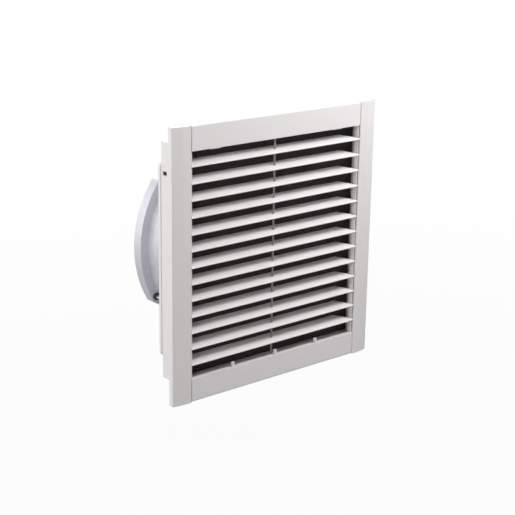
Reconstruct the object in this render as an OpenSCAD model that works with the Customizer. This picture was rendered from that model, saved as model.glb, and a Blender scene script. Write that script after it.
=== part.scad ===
// Cabinet filter fan: a louvred cover on a flanged frame, a filter mat, and a
// round metal axial fan with an external rotor motor on a tray behind it.
// X is to the right, Y goes back into the cabinet and Z is up. The origin is the
// centre of the plane where the flange seats on the cabinet's panel.

/* [Face] */
// Width of the flange
face_w = 316; // [312:1:324]
// Height of the flange
face_h = 336; // [334:1:344]
// Depth of the face in front of the panel
face_t = 9; // [8.5:0.5:12]
// Width of one stile beside the louvre cover
stile_w = 26; // [24:0.5:27]
// Width of the sloped outer zone of a stile
stile_slope_w = 14; // [8:1:16]
// How far the sloped zone falls back at its outer edge
stile_slope_drop = 2.5; // [1:0.5:4]
// Thickness of the flange plate
flange_t = 3; // [2.5:0.5:3.5]

/* [Duct box] */
// Width and height of the cabinet cut-out that the box goes through
cutout = 291; // [290:1:292]
// Depth of the box behind the panel
box_depth = 32; // [31:1:36]
// Wall of the box
box_wall = 2.5; // [2:0.5:3]
// How far the clip pads stand proud of the side walls
pad_t = 0.5; // [0.4:0.1:0.6]
// Half height of the clip pads
pad_half_h = 115; // [108:1:118]

/* [Louvre cover] */
// Height of the top rail
top_rail_h = 29.5; // [28.5:0.5:31]
// Height of the bottom rail
bottom_rail_h = 30; // [29:0.5:32]
// Number of slats
slat_count = 13; // [11:1:13]
// Distance from one slat to the next
slat_pitch = 20.1; // [19.5:0.1:20.3]
// Height of the first slat's lower front edge
slat_top_z = 120; // [119:0.1:122]
// Depth of a slat from front to back
slat_depth = 21; // [18:0.5:21]
// Rise of a slat from its front to its back edge
slat_rise = 3.2; // [2:0.2:5]
// Thickness of a slat
slat_t = 1.8; // [1.6:0.1:2.4]
// How much shorter a slat's back edge is at each end
slat_end_bevel = 16; // [8:1:16]
// Height of the short posts on the bottom rail
post_h = 6; // [4:0.5:7]
// Distance between the short posts
post_pitch = 67.5; // [60:0.5:72]

/* [Filter] */
// Thickness of the filter mat
mat_t = 10; // [8:0.5:10]
// Distance between the bars of the filter grid
grid_pitch = 28; // [24:1:32]

/* [Fan] */
// Inner radius of the shroud
shroud_r = 125.2; // [124.6:0.1:125.4]
// Thickness of the sheet metal
sheet_t = 1.5; // [1.2:0.1:1.6]
// Outer radius of the rear rim
rim_r = 138; // [138:0.5:139]
// Depth of the rear rim
rim_depth = 14; // [13:1:15]
// Distance of the rim's rear edge behind the panel
fan_back = 100; // [99:1:103]
// Half angle of one arc of the rear rim
rim_half_angle = 33.5; // [33:0.5:35]
// How far the fan's housing is turned in the tray
fan_turn = -3; // [-3:1:3]
// Number of blades
blade_count = 7; // [5:1:7]
// Outer radius of the blades
blade_tip_r = 121; // [116:0.5:122]
// Outer radius of the rotor can
rotor_r = 50; // [48:0.5:52]
// Number of rings in the finger guard
ring_count = 9; // [7:1:9]

/* [Hidden] */
$fn = 96;

// Overlap of solids that are joined, and how far a cutter reaches past a face
sink = 0.5;
past = 1;
running_gap = 0.05;
press_gap = 0.02;
screw_gap = 0.1;

// Face and cover
seam_gap = 0.5;
seam_x = face_w / 2 - stile_w;
cover_half_w = seam_x - seam_gap;
cover_back = -flange_t - seam_gap;
top_rail_z = face_h / 2 - top_rail_h;
bottom_rail_z = bottom_rail_h - face_h / 2;
edge_cut = 1;
strip_w = 1.6;
strip_set_back = 2;
strip_depth = 6;
rail_skin = 2.4;
rail_wall = 2;
pocket_count = 6;
opening_half_h = 141.8;
slat_back = slat_depth - face_t;
slat_end_straight = 3;
slat_front_t = 1.2;
slat_edge_t = 1.4;
rib_t = 1.2;
rib_front = 0;
rib_depth = 2.5;
rib_foot = 2.5;
post_w = 3;
post_y = [0.8 - face_t, cover_back - 1.2];
tab_x = 95;
tab_w = 14;
tab_t = 2;
tab_back = 3.5;
tab_nose = 2.5;

// Hinge of the cover: the axis is the centre of the bottom rail's round lower edge
hinge_r = (face_t + cover_back) / 2;
hinge_y = hinge_r - face_t;
hinge_z = hinge_r - face_h / 2;
pin_r = 1.4;
pin_in_cover = 9.5;
pin_in_stile = 9.5;
pin_end_gap = 0.3;
hinge_wall = 1.2;

// Duct box
box_gap = 0.5;
box_half_w = cutout / 2 - box_gap - pad_t;
box_half_h = cutout / 2 - box_gap;
duct_half_w = box_half_w - box_wall;
duct_half_h = box_half_h - box_wall;
pad_front = 13;
back_wall_y = box_depth - box_wall;
back_hole_r = 134;
fixing_x = 120;
fixing_z = 158;
fixing_r = 2.6;
gasket_in = box_half_h + 1.5;
gasket_w = 4.5;
gasket_t = 1.2;

// Clips between the tray and the box
clip_z = pad_half_h - 6.5;
clip_y = 21;
clip_window = [7.6, 4.8];
clip_arm_out = duct_half_w - 0.7;
clip_arm_t = 1.6;
clip_gap = 0.4;
clip_nose = 4.2;
clip_ramp = 2.6;
clip_nose_x = box_half_w + pad_t - 0.6;

// Filter
mat_gap = 1;
mat_y = slat_back + 1.2;
grid_y = mat_y + mat_t + 0.3;
grid_t = back_wall_y - grid_y - 0.4;
grid_gap = 0.5;
grid_bar = 2.4;
grid_frame = 5;
grid_corner = 45;

// Tray
tray_half = box_half_h;
tray_corner = 30;
tray_t = 6;
tray_wall = 3.2;
tray_groove = [1.4, 2];
tray_plate = 2;
tray_back = box_depth + tray_t;
tray_screw_xz = 124;
tray_boss_r = 5;
tray_boss_t = 3.5;
tray_screw_r = 1.9;
earth_x = 130;
earth_z = -58;

// Pan head of a screw, in parts of its radius and height
head_edge = 0.55;
head_top = 0.72;
recess_length = 1.1;
recess_w = 0.24;

// Shroud and rear rim
shroud_out_r = shroud_r + sheet_t;
bell_front = tray_back - tray_plate - sheet_t;
bell_flange_r = 137;
bell_round = 3;
rim_front = fan_back - rim_depth;
rim_face = rim_front + sheet_t;
rim_in_r = rim_r - sheet_t;
notch_r = shroud_out_r - 0.4;
notch_out = 40;

// Stays between the tray and the rear rim
stay_pcr = 131.4;
stay_angle = 31.5;
stay_r = 2.5;
stay_head_r = 4.4;
stay_tail = 8;
grommet_r = 4.5;
grommet_t = 2.5;
nut_r = 4.6;
nut_t = 4;

// Motor, from front to back
can_wall = 2;
can_front = 33;
can_face_t = 2.5;
can_back = 79;
can_boss_r = 12;
can_boss_y = 41;
can_round = [1.5, 5];
can_fillet = 3;
shaft_r = 5;
shaft_back = 87;
shaft_cut = 0.8;
tube_front = 42;
tube_r = 16;
tube_fillet = 3;
bearing_r = 13;
bearing_t = 8;
bearing_lip = 2;
shield_rim = 2.4;
shield_recess = 0.6;
front_bearing_y = 42.5;
rear_bearing_y = 77.5;
washer_t = 0.7;
washer_gap = 0.1;
flange_front = 82;
motor_flange_r = 40;
flange_cut = 1.5;
core_r = 46.5;
core_y = [45, 73];
core_slots = 12;
slot_half = 2.6;
slot_mouth = 1;
tooth_t = 2;
winding_r = [24, 43];
winding_front = [38, 44.8];
winding_rear = [73.2, 80.5];
winding_round = 2.5;
motor_screw_pcr = 32;
ring_t = 0.8;
ring_lug = 2.2;
ring_slot = 1.2;

// Blades
blade_root_r = rotor_r - 0.6;
blade_mid_y = 58;
blade_span = [41, 37];
blade_rise = [34, 24];
blade_camber = 5;
blade_lean = 16;
blade_t = 1.8;
blade_edge = 0.6;
blade_tip_round = 0.1;
blade_rows = 8;
blade_cols = 10;

// Motor bracket and finger guard
arm_angle = 12;
arm_screw_pcr = 131.4;
arm_screw_r = 2;
arm_screw_tail = 0.6;
bracket_t = 2.5;
bracket_y = rim_face;
bracket_back = bracket_y + bracket_t;
bracket_hub_r = 44;
bracket_arm_w = 20;
bracket_lip = 5.5;
bracket_lip_t = 1.5;
bracket_end_r = rim_in_r - 1;
ring_wire = 1.2;
arm_wire = 1.75;
ring_y = fan_back - 4;
arm_y = ring_y - 2.4;
ring_first = 32;
ring_last = 128;
arm_tail = 6;
eye_r = 4.9;
eye_t = 2.4;
eye_overlap = 1.3;

// Electrical pieces on the tray, on the right-hand diagonals
cap_r = 14;
cap_len = 48;
cap_pcr = 154;
cap_round = [1, 1.5];
tag_x = 5;
tag_size = [0.8, 8, 6.2];
clip_t = 1.2;
clip_h = 14;
terminal_size = [44, 20, 18];
terminal_pcr = 153;
terminal_ways = 3;
terminal_way = terminal_size[0] / terminal_ways;
terminal_well = [3.4, 7];
terminal_port = [5, 5.5, 6];
terminal_port_y = 3;
terminal_groove = [1.2, 4];

// A flat outline in X and Z, given a thickness along Y
module plate_y(y, t) {
    translate([0, y + t, 0]) rotate([90, 0, 0]) linear_extrude(t) children();
}

// A profile in Y and Z, drawn out along X and centred
module bar_x(length) {
    rotate([90, 0, 90]) linear_extrude(length, center = true) children();
}

// A profile in X and Y, drawn out along Z and centred
module bar_z(length) {
    linear_extrude(length, center = true) children();
}

// A profile in radius and Y, turned round the Y axis
module turned(segments = 96) {
    rotate([-90, 0, 0]) rotate_extrude($fn = segments) children();
}

module rod_y(x, z, y, length, r, segments = 48) {
    translate([x, y, z]) rotate([-90, 0, 0]) cylinder(h = length, r = r, $fn = segments);
}

module rod_x(x, y, z, length, r) {
    translate([x, y, z]) rotate([0, 90, 0]) cylinder(h = length, r = r, $fn = 48);
}

// A bore along Y that reaches past both faces
module bore_y(y, length, r, segments = 48) {
    rod_y(0, 0, y - past, length + 2 * past, r, segments);
}

// A box between two corners
module block(low, high) {
    translate(low) cube(high - low);
}

module both_sides() {
    children();
    mirror([1, 0, 0]) children();
}

module at_corners(x, z) {
    for (sx = [-1, 1], sz = [-1, 1]) translate([sx * x, 0, sz * z]) children();
}

// Four places round the fan's housing, a quarter turn apart
module four_round(angle, r) {
    for (quarter = [0:3]) rotate([0, -(fan_turn + angle + 90 * quarter), 0]) translate([r, 0, 0]) children();
}

// A place on a diagonal of the tray's right-hand side, 1 above and -1 below
module tray_corner_place(end, r) {
    rotate([0, -45 * end, 0]) translate([r, 0, 0]) children();
}

// A rectangle with cut corners
module cut_rect(half_w, half_h, corner) {
    polygon([
        [half_w, half_h - corner], [half_w - corner, half_h],
        [-half_w + corner, half_h], [-half_w, half_h - corner],
        [-half_w, -half_h + corner], [-half_w + corner, -half_h],
        [half_w - corner, -half_h], [half_w, -half_h + corner]
    ]);
}

// A pan head with a cross recess
module screw_head(y, r, h) {
    recess = [r * recess_length, h, r * recess_w];
    translate([0, y, 0]) difference() {
        turned(32) polygon([[0, 0], [r, 0], [r, h * head_edge], [r * head_top, h], [0, h]]);
        for (turn = [0, 90]) rotate([0, turn, 0]) translate([0, h, 0]) cube(recess, center = true);
    }
}

module stile() {
    bar_z(face_h) polygon([
        [seam_x, 0], [seam_x, edge_cut / 2 - face_t], [seam_x + edge_cut / 2, -face_t],
        [face_w / 2 - stile_slope_w, -face_t], [face_w / 2, stile_slope_drop - face_t],
        [face_w / 2, 0]
    ]);
}

module duct_box() {
    difference() {
        union() {
            block([-box_half_w, -flange_t, -box_half_h], [box_half_w, box_depth, box_half_h]);
            both_sides()
                block([duct_half_w, pad_front, -pad_half_h], [box_half_w + pad_t, box_depth, pad_half_h]);
        }
        block([-duct_half_w, -flange_t - past, -duct_half_h], [duct_half_w, back_wall_y, duct_half_h]);
        bore_y(back_wall_y, box_wall, back_hole_r, 128);
    }
}

// Windows for the clips' noses in the side walls, and slots for their arms in the back wall
module clip_windows() {
    low = clip_z - clip_window[1] / 2;
    high = clip_z + clip_window[1] / 2;
    both_sides() {
        block([duct_half_w - past, clip_y, low],
              [box_half_w + pad_t + past, clip_y + clip_window[0], high]);
        block([clip_arm_out - clip_arm_t - clip_gap, back_wall_y - past, low],
              [duct_half_w, box_depth + past, high]);
    }
}

module base_frame() {
    boss_y = back_wall_y - tray_boss_t;
    color("gainsboro") difference() {
        union() {
            block([-face_w / 2, -flange_t, -face_h / 2], [face_w / 2, 0, face_h / 2]);
            both_sides() stile();
            duct_box();
            at_corners(tray_screw_xz, tray_screw_xz) rod_y(0, 0, boss_y, tray_boss_t + sink, tray_boss_r);
        }
        block([-seam_x, -flange_t - past, -opening_half_h], [seam_x, past, opening_half_h]);
        plate_y(-gasket_t, gasket_t + past) gasket_outline();
        at_corners(fixing_x, fixing_z) bore_y(-flange_t, flange_t, fixing_r);
        at_corners(tray_screw_xz, tray_screw_xz)
            bore_y(boss_y, tray_boss_t + box_wall, tray_screw_r + running_gap, 32);
        both_sides() rod_x(seam_x - past, hinge_y, hinge_z, pin_in_stile + past, pin_r + press_gap);
        clip_windows();
    }
}

module gasket_outline() {
    difference() {
        square(2 * (gasket_in + gasket_w), center = true);
        square(2 * gasket_in, center = true);
    }
}

module panel_gasket() {
    color("dimgray") plate_y(-gasket_t, gasket_t) gasket_outline();
}

// A slat rises to the back, and both its edges are thinned
module slat_profile() {
    polygon([
        [-face_t, 0], [-face_t, slat_front_t], [slat_front_t - face_t, slat_t],
        [slat_back, slat_rise + slat_t], [slat_back, slat_rise + slat_t - slat_edge_t]
    ]);
}

// Seen from above, a slat has a short straight end at the front and narrows behind it
module slat_plan() {
    straight_y = slat_end_straight - face_t;
    slope = slat_end_bevel / (slat_back - straight_y);
    back_half_w = cover_half_w - slat_end_bevel - slope * past;
    polygon([
        [-cover_half_w, -face_t - past], [cover_half_w, -face_t - past], [cover_half_w, straight_y],
        [back_half_w, slat_back + past], [-back_half_w, slat_back + past], [-cover_half_w, straight_y]
    ]);
}

module slats() {
    intersection() {
        for (k = [0:slat_count - 1]) {
            translate([0, 0, slat_top_z - k * slat_pitch]) bar_x(2 * seam_x) slat_profile();
        }
        bar_z(face_h) slat_plan();
    }
}

// The pockets of a hollow rail open towards the flange
module rail_pockets(low_z, high_z) {
    width = 2 * (cover_half_w - rail_wall) / pocket_count;
    for (k = [0:pocket_count - 1]) {
        x = -cover_half_w + rail_wall + k * width;
        block([x + rail_wall / 2, rail_skin - face_t, low_z],
              [x + width - rail_wall / 2, cover_back + past, high_z]);
    }
}

// A rail's front corners are cut at both of its ends
module with_cut_ends() {
    cut = edge_cut / 2;
    intersection() {
        children();
        bar_z(face_h + 2 * past) polygon([
            [-cover_half_w, past], [-cover_half_w, cut - face_t], [cut - cover_half_w, -face_t],
            [cover_half_w - cut, -face_t], [cover_half_w, cut - face_t], [cover_half_w, past]
        ]);
    }
}

module top_rail() {
    top = face_h / 2;
    difference() {
        with_cut_ends() bar_x(2 * seam_x) polygon([
            [-face_t, top_rail_z], [cover_back, top_rail_z], [cover_back, top],
            [edge_cut - face_t, top], [-face_t, top - edge_cut]
        ]);
        rail_pockets(top_rail_z + rail_wall, top - rail_wall);
    }
}

module bottom_rail() {
    difference() {
        with_cut_ends() union() {
            block([-seam_x, -face_t, hinge_z], [seam_x, cover_back, bottom_rail_z]);
            rod_x(-seam_x, hinge_y, hinge_z, 2 * seam_x, hinge_r);
        }
        rail_pockets(hinge_z + hinge_r + hinge_wall, bottom_rail_z - rail_wall);
        both_sides() rod_x(cover_half_w - pin_in_cover - pin_end_gap, hinge_y, hinge_z,
                           pin_in_cover + past, pin_r + running_gap);
    }
}

// The centre rib ties the slats together at half their depth, and its feet are on both rails
module centre_rib() {
    rib_back = rib_front + rib_depth;
    bar_x(rib_t) polygon([
        [rib_back, top_rail_z + rib_foot], [cover_back - sink, top_rail_z + rib_foot],
        [cover_back - sink, top_rail_z], [rib_front, top_rail_z],
        [rib_front, bottom_rail_z], [cover_back - sink, bottom_rail_z],
        [cover_back - sink, bottom_rail_z - rib_foot], [rib_back, bottom_rail_z - rib_foot]
    ]);
}

// A strip up each side joins the slats' ends
module end_strips() {
    strip_front = strip_set_back - face_t;
    both_sides() block([cover_half_w - strip_w, strip_front, bottom_rail_z - sink],
                       [cover_half_w, strip_front + strip_depth, top_rail_z + sink]);
}

// A snap tab runs back through the opening, and its nose rises behind the flange's edge
module snap_tab() {
    over = top_rail_z + sink;
    bar_x(tab_w) polygon([
        [rail_skin - face_t, over - tab_t], [tab_back, over - tab_t], [tab_back, over],
        [tab_back - tab_nose, over + tab_nose], [seam_gap, over + tab_nose],
        [seam_gap, over], [rail_skin - face_t, over]
    ]);
}

module louvre_cover() {
    color("whitesmoke") {
        top_rail();
        bottom_rail();
        end_strips();
        centre_rib();
        for (k = [-1:1]) translate([k * post_pitch, 0, bottom_rail_z])
            block([-post_w / 2, post_y[0], -sink], [post_w / 2, post_y[1], post_h]);
        both_sides() translate([tab_x, 0, 0]) snap_tab();
    }
}

// The slats are one moulding with the cover, and end on its strips and its rib
module louvre_slats() {
    color("whitesmoke") difference() {
        slats();
        end_strips();
        centre_rib();
    }
}

module hinge_pins() {
    length = pin_in_cover + seam_gap + pin_in_stile - pin_end_gap;
    color("silver") both_sides() rod_x(cover_half_w - pin_in_cover, hinge_y, hinge_z, length, pin_r);
}

module filter_mat() {
    half_w = duct_half_w - mat_gap;
    half_h = duct_half_h - mat_gap;
    color([0.22, 0.2, 0.19]) block([-half_w, mat_y, -half_h], [half_w, mat_y + mat_t, half_h]);
}

module filter_grid() {
    half_w = duct_half_w - grid_gap;
    half_h = duct_half_h - grid_gap;
    bars = floor(half_w / grid_pitch);
    color("gainsboro") plate_y(grid_y, grid_t) {
        difference() {
            cut_rect(half_w, half_h, grid_corner);
            cut_rect(half_w - grid_frame, half_h - grid_frame, grid_corner - grid_frame / 2);
        }
        intersection() {
            cut_rect(half_w - past, half_h - past, grid_corner);
            for (k = [-bars:bars]) {
                translate([k * grid_pitch, 0]) square([grid_bar, 2 * half_h], center = true);
                translate([0, k * grid_pitch]) square([2 * half_w, grid_bar], center = true);
            }
        }
    }
}

// The tray's edge stands back along the duct box, which leaves a shadow line
module fan_tray() {
    pan_half = tray_half - tray_wall;
    foot_half = tray_half - tray_groove[0];
    color("gainsboro") difference() {
        union() {
            difference() {
                union() {
                    plate_y(box_depth, tray_t) cut_rect(foot_half, foot_half, tray_corner);
                    plate_y(box_depth + tray_groove[1], tray_t - tray_groove[1])
                        cut_rect(tray_half, tray_half, tray_corner);
                }
                plate_y(box_depth - past, tray_t - tray_plate + past)
                    cut_rect(pan_half, pan_half, tray_corner - tray_wall / 2);
            }
            at_corners(tray_screw_xz, tray_screw_xz) rod_y(0, 0, box_depth, tray_t - sink, tray_boss_r);
        }
        bore_y(box_depth, tray_t, shroud_out_r + seam_gap, 128);
        at_corners(tray_screw_xz, tray_screw_xz) bore_y(box_depth, tray_t, tray_screw_r + screw_gap, 32);
        stay_places() bore_y(box_depth, tray_t, stay_r + screw_gap, 32);
        translate([earth_x, 0, earth_z]) bore_y(box_depth, tray_t, arm_screw_r + screw_gap, 32);
    }
}

// The lower left stay is the one that shows beside the shroud
module stay_places() {
    four_round(180 + stay_angle, stay_pcr) children();
}

// A clip's arm runs forward from the tray, and its nose sits in the duct box's window
module tray_clips() {
    root = tray_back - tray_plate;
    back = clip_y + clip_window[0] - clip_gap;
    front = back - clip_nose;
    color([0.1, 0.1, 0.1]) both_sides() translate([0, 0, clip_z])
        bar_z(clip_window[1] - 2 * clip_gap) polygon([
            [clip_arm_out - clip_arm_t, root], [clip_arm_out - clip_arm_t, front], [clip_arm_out, front],
            [clip_nose_x, front + clip_ramp], [clip_nose_x, back], [clip_arm_out, back], [clip_arm_out, root]
        ]);
}

module tray_screws() {
    tip = back_wall_y - tray_boss_t + sink;
    color("silver") at_corners(tray_screw_xz, tray_screw_xz) {
        rod_y(0, 0, tip, tray_back - tip, tray_screw_r, 32);
        screw_head(tray_back, 3.8, 2.4);
    }
}

// The tube and its front flange, with a rounded air inlet
module shroud_profile() {
    difference() {
        union() {
            translate([shroud_r, bell_front]) square([bell_flange_r - shroud_r, sheet_t]);
            translate([shroud_r, bell_front]) square([sheet_t, rim_front - bell_front]);
        }
        difference() {
            translate([shroud_r - past, bell_front - past]) square(bell_round + past);
            translate([shroud_r + bell_round, bell_front + bell_round]) circle(r = bell_round, $fn = 48);
        }
    }
}

module fan_shroud() {
    color([0.8, 0.8, 0.84]) difference() {
        turned(128) shroud_profile();
        stay_places() bore_y(bell_front, sheet_t, stay_r + screw_gap, 32);
    }
}

// Each notch is cut straight from an arc's end in to the shroud on the diagonal
module rim_notches() {
    end_x = (rim_r + press_gap) * cos(rim_half_angle);
    end_z = (rim_r + press_gap) * sin(rim_half_angle);
    root = notch_r * cos(45);
    four_round(0, 0) plate_y(rim_front - past, rim_depth + 2 * past) polygon([
        [root, root], [end_x, end_z], [end_x + notch_out, end_z], [end_x + notch_out, end_x + notch_out],
        [end_z, end_x + notch_out], [end_z, end_x]
    ]);
}

// The rear rim is a ring on the shroud's end, with a lip that runs back on its four arcs
module rear_rim() {
    color([0.8, 0.8, 0.84]) difference() {
        union() {
            difference() {
                turned(128) polygon([
                    [shroud_r, rim_front], [rim_r, rim_front], [rim_r, fan_back],
                    [rim_in_r, fan_back], [rim_in_r, rim_face], [shroud_r, rim_face]
                ]);
                rim_notches();
            }
            turned(128) translate([shroud_r, rim_front]) square(sheet_t);
        }
        stay_places() bore_y(rim_front, sheet_t, stay_r + screw_gap, 32);
        four_round(arm_angle, arm_screw_pcr) bore_y(rim_front, sheet_t, arm_screw_r + screw_gap, 32);
    }
}

module fan_stays() {
    head_y = box_depth + screw_gap;
    color("silver") stay_places() {
        rod_y(0, 0, head_y, bell_front - head_y, stay_head_r, 32);
        rod_y(0, 0, head_y, rim_face + stay_tail - head_y, stay_r, 32);
    }
}

// One rubber ring on each face of the rim
module stay_grommets() {
    color([0.08, 0.08, 0.08]) stay_places() for (y = [rim_front - grommet_t, rim_face]) difference() {
        rod_y(0, 0, y, grommet_t, grommet_r, 32);
        bore_y(y, grommet_t, stay_r + running_gap, 32);
    }
}

module stay_nuts() {
    color([0.25, 0.25, 0.27]) stay_places() difference() {
        rod_y(0, 0, rim_face + grommet_t, nut_t, nut_r, 6);
        bore_y(rim_face + grommet_t, nut_t, stay_r + running_gap, 32);
    }
}

// A pressed disc with four arms, each stiffened by a lip along both of its edges
module motor_bracket() {
    lip_z = (bracket_arm_w - bracket_lip_t) / 2;
    color("silver") difference() {
        union() {
            rod_y(0, 0, bracket_y, bracket_t, bracket_hub_r, 96);
            intersection() {
                four_round(arm_angle, 0)
                    block([0, bracket_y, -bracket_arm_w / 2], [rim_r, bracket_back, bracket_arm_w / 2]);
                rod_y(0, 0, bracket_y - past, bracket_t + 2 * past, bracket_end_r, 96);
            }
            four_round(arm_angle, 0) for (side = [-1, 1]) translate([0, 0, side * lip_z])
                block([bracket_hub_r - past, bracket_y - bracket_lip, -bracket_lip_t / 2],
                      [shroud_r - 2 * past, bracket_y + sink, bracket_lip_t / 2]);
        }
        bore_y(bracket_y, bracket_t, tube_r, 64);
        four_round(arm_angle, arm_screw_pcr) bore_y(bracket_y, bracket_t, arm_screw_r + screw_gap, 32);
        four_round(45 + arm_angle, motor_screw_pcr) bore_y(bracket_y, bracket_t, arm_screw_r + screw_gap, 32);
    }
}

// The motor's fixed aluminium flange with its bearing tube
module motor_flange() {
    seat = bearing_r + press_gap;
    front_seat_back = front_bearing_y + bearing_t;
    color([0.75, 0.76, 0.78]) difference() {
        turned(96) polygon([
            [0, tube_front], [tube_r - edge_cut, tube_front], [tube_r, tube_front + edge_cut],
            [tube_r, flange_front - tube_fillet], [tube_r + tube_fillet, flange_front],
            [motor_flange_r - flange_cut, flange_front], [motor_flange_r, flange_front + flange_cut],
            [motor_flange_r, bracket_y], [0, bracket_y]
        ]);
        bore_y(tube_front, bracket_y - tube_front, bearing_r - bearing_lip, 64);
        rod_y(0, 0, tube_front - past, front_seat_back - tube_front + past, seat, 64);
        rod_y(0, 0, rear_bearing_y - past, bracket_y - rear_bearing_y + 2 * past, seat, 64);
        four_round(45 + arm_angle, motor_screw_pcr)
            bore_y(flange_front, bracket_y - flange_front, arm_screw_r + running_gap, 32);
    }
}

module motor_screws() {
    tip = flange_front + sink;
    color("silver") four_round(45 + arm_angle, motor_screw_pcr) {
        rod_y(0, 0, tip, bracket_back - tip, arm_screw_r, 32);
        screw_head(bracket_back, 3.6, 2.6);
    }
}

// Each slot of the laminated core is a pocket with a narrow mouth at the rim
module stator_core() {
    low = core_y[0] - past;
    high = core_y[1] + past;
    mouth_in = winding_r[1] - tooth_t;
    color([0.35, 0.36, 0.4]) difference() {
        rod_y(0, 0, core_y[0], core_y[1] - core_y[0], core_r, 96);
        rod_y(0, 0, low, high - low, tube_r + press_gap, 64);
        for (k = [0:core_slots - 1]) rotate([0, 360 / core_slots * k, 0]) {
            block([winding_r[0], low, -slot_half], [mouth_in + sink, high, slot_half]);
            block([mouth_in, low, -slot_mouth], [core_r + past, high, slot_mouth]);
        }
    }
}

module winding_ring(span) {
    turned(96) polygon([
        [winding_r[0], span[0] + winding_round], [winding_r[0] + winding_round, span[0]],
        [winding_r[1] - winding_round, span[0]], [winding_r[1], span[0] + winding_round],
        [winding_r[1], span[1]], [winding_r[0], span[1]]
    ]);
}

module stator_windings() {
    color([0.7, 0.38, 0.18]) {
        winding_ring(winding_front);
        winding_ring(winding_rear);
    }
}

// A closed ball bearing: both of its shields are set in between the races
module bearing(y) {
    color("silver") difference() {
        rod_y(0, 0, y, bearing_t, bearing_r, 64);
        bore_y(y, bearing_t, shaft_r + running_gap, 64);
        for (face = [y - past, y + bearing_t - shield_recess]) difference() {
            rod_y(0, 0, face, past + shield_recess, bearing_r - shield_rim, 64);
            bore_y(face, past + shield_recess, shaft_r + shield_rim, 64);
        }
    }
}

module front_bearing() {
    bearing(front_bearing_y);
}

module rear_bearing() {
    bearing(rear_bearing_y);
}

module preload_washer() {
    y = rear_bearing_y - washer_gap - washer_t;
    color("silver") difference() {
        rod_y(0, 0, y, washer_t, bearing_r - washer_gap, 64);
        bore_y(y, washer_t, bearing_r - shield_rim, 64);
    }
}

module shaft() {
    front = can_front + can_face_t;
    color("silver") turned(64) polygon([
        [0, front], [shaft_r, front], [shaft_r, shaft_back - shaft_cut],
        [shaft_r - shaft_cut, shaft_back], [0, shaft_back]
    ]);
}

// A slotted ring on the shaft behind the rear bearing
module retaining_ring() {
    y = rear_bearing_y + bearing_t + washer_gap;
    color([0.3, 0.3, 0.32]) difference() {
        rod_y(0, 0, y, ring_t, shaft_r + ring_lug, 48);
        bore_y(y, ring_t, shaft_r + press_gap, 48);
        block([0, y - past, -ring_slot], [shaft_r + ring_lug + past, y + ring_t + past, ring_slot]);
    }
}

// The cup-shaped rotor turns round the stator and carries the blades
module rotor_can() {
    inner = rotor_r - can_wall;
    face = can_front + can_face_t;
    color([0.2, 0.2, 0.22]) difference() {
        turned(96) polygon([
            [0, can_front], [rotor_r - can_round[1], can_front],
            [rotor_r - can_round[0], can_front + can_round[0]], [rotor_r, can_front + can_round[1]],
            [rotor_r, can_back], [inner, can_back], [inner, face + can_fillet],
            [inner - can_fillet, face], [can_boss_r, face], [can_boss_r, can_boss_y], [0, can_boss_y]
        ]);
        rod_y(0, 0, face, can_boss_y + past - face, shaft_r + press_gap, 64);
    }
}

// One blade is a thin skewed sheet: s runs from root to tip, u from edge to edge
function between(pair, s) = pair[0] + (pair[1] - pair[0]) * s;
function tip_narrowing(s) = 1 - blade_tip_round * pow(s, 6);
function blade_angle(s, u) = blade_lean * s * s + u * between(blade_span, s) / 2 * tip_narrowing(s);
function blade_height(s, u) = u * between(blade_rise, s) / 2 + blade_camber * (1 - u * u);
function blade_half_t(u) = blade_t * (1 - blade_edge * u * u) / 2;
function blade_point(s, u, side) =
    let (r = blade_root_r + (blade_tip_r - blade_root_r) * s, a = blade_angle(s, u))
    [r * cos(a), blade_mid_y + blade_height(s, u) + side * blade_half_t(u), r * sin(a)];
function blade_index(side, row, col) = (side * (blade_rows + 1) + row) * (blade_cols + 1) + col;

module blade() {
    points = [
        for (side = [-1, 1], row = [0:blade_rows], col = [0:blade_cols])
            blade_point(row / blade_rows, 2 * col / blade_cols - 1, side)
    ];
    front = [
        for (row = [0:blade_rows - 1], col = [0:blade_cols - 1])
            [blade_index(0, row, col), blade_index(0, row + 1, col),
             blade_index(0, row + 1, col + 1), blade_index(0, row, col + 1)]
    ];
    back = [
        for (row = [0:blade_rows - 1], col = [0:blade_cols - 1])
            [blade_index(1, row, col), blade_index(1, row, col + 1),
             blade_index(1, row + 1, col + 1), blade_index(1, row + 1, col)]
    ];
    ends = [
        for (row = [0:blade_rows - 1], col = [0, blade_cols])
            let (face = [blade_index(0, row, col), blade_index(1, row, col),
                         blade_index(1, row + 1, col), blade_index(0, row + 1, col)])
            col == 0 ? face : [face[3], face[2], face[1], face[0]]
    ];
    edges = [
        for (col = [0:blade_cols - 1], row = [0, blade_rows])
            let (face = [blade_index(0, row, col), blade_index(0, row, col + 1),
                         blade_index(1, row, col + 1), blade_index(1, row, col)])
            row == 0 ? face : [face[3], face[2], face[1], face[0]]
    ];
    polyhedron(points, concat(front, back, ends, edges), convexity = 4);
}

module impeller_blades() {
    color([0.25, 0.25, 0.27]) for (k = [0:blade_count - 1]) rotate([0, 360 / blade_count * k, 0]) blade();
}

module finger_guard() {
    ring_step = (ring_last - ring_first) / (ring_count - 1);
    arm_start = ring_first - arm_tail;
    arm_end = arm_screw_pcr - eye_r + eye_overlap;
    color([0.75, 0.76, 0.78]) {
        for (k = [0:ring_count - 1])
            turned(96) translate([ring_first + k * ring_step, ring_y]) circle(r = ring_wire, $fn = 16);
        four_round(arm_angle, 0) rod_x(arm_start, arm_y, 0, arm_end - arm_start, arm_wire);
        four_round(arm_angle, arm_screw_pcr) difference() {
            rod_y(0, 0, bracket_back, eye_t, eye_r, 32);
            bore_y(bracket_back, eye_t, arm_screw_r + screw_gap, 32);
        }
    }
}

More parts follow.
